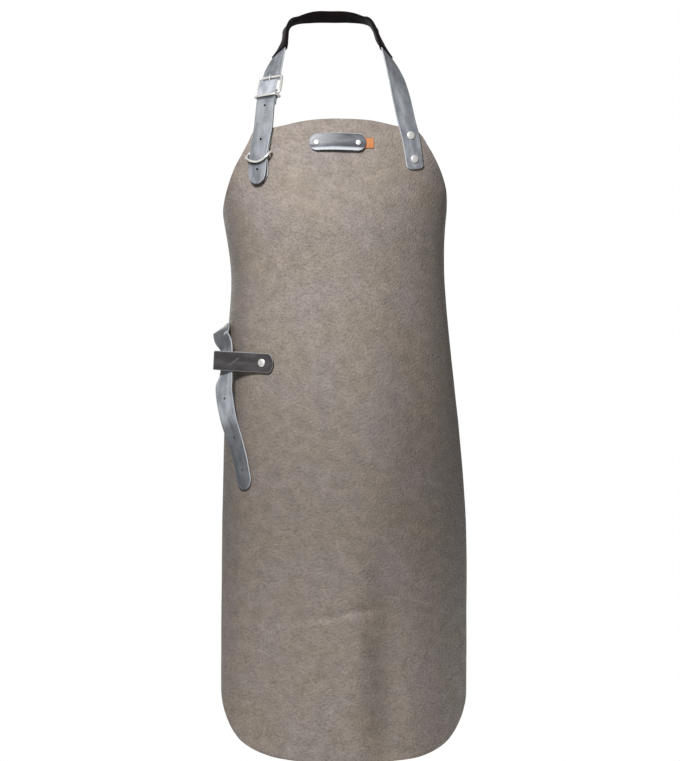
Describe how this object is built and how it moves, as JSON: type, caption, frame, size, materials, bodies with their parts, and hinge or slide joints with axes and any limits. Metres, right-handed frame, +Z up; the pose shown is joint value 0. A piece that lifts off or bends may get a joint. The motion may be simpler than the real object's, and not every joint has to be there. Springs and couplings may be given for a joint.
{
  "type": "leather apron",
  "caption": "Leather work apron with bib, riveted neck strap with buckle and padded nape, waist tie through a side loop, hung as worn.",
  "frame": {"origin": "the inner face of the neck pad at the nape, where the wearer's neck carries the apron", "axes": "+Z up as worn; the front of the apron faces -Y; +X to the right in a front view"},
  "size_m": [0.3594, 0.2379, 1.0636],
  "materials": {
    "taupe_leather": "soft pebbled hide with a low sheen",
    "grey_leather": "smooth blue-grey strap leather, paler where it bends",
    "charcoal_leather": "dark strap leather with pale scuffs",
    "black_felt": "matt black padded felt",
    "orange_leather": "dyed orange leather",
    "nickel_wire": "nickel-plated steel wire",
    "nickel_rivet": "nickel-plated caps"
  },
  "bodies": {
    "root": {"apron_panel": "taupe_leather", "neck_strap": "grey_leather", "neck_pad": "black_felt", "buckle_strap": "grey_leather", "buckle_frame": "nickel_wire", "buckle_prong": "nickel_wire", "buckle_keeper": "nickel_wire", "strap_ring": "nickel_wire", "label_patch": "grey_leather", "label_tab": "orange_leather", "waist_loop": "charcoal_leather", "waist_tie": "grey_leather", "neck_rivet_upper": "nickel_rivet", "neck_rivet_lower": "nickel_rivet", "buckle_strap_rivet_upper": "nickel_rivet", "buckle_strap_rivet_lower": "nickel_rivet", "label_rivet_left": "nickel_rivet", "label_rivet_right": "nickel_rivet", "waist_loop_rivet": "nickel_rivet", "waist_tie_rivet": "nickel_rivet"}
  },
  "joints": []
}
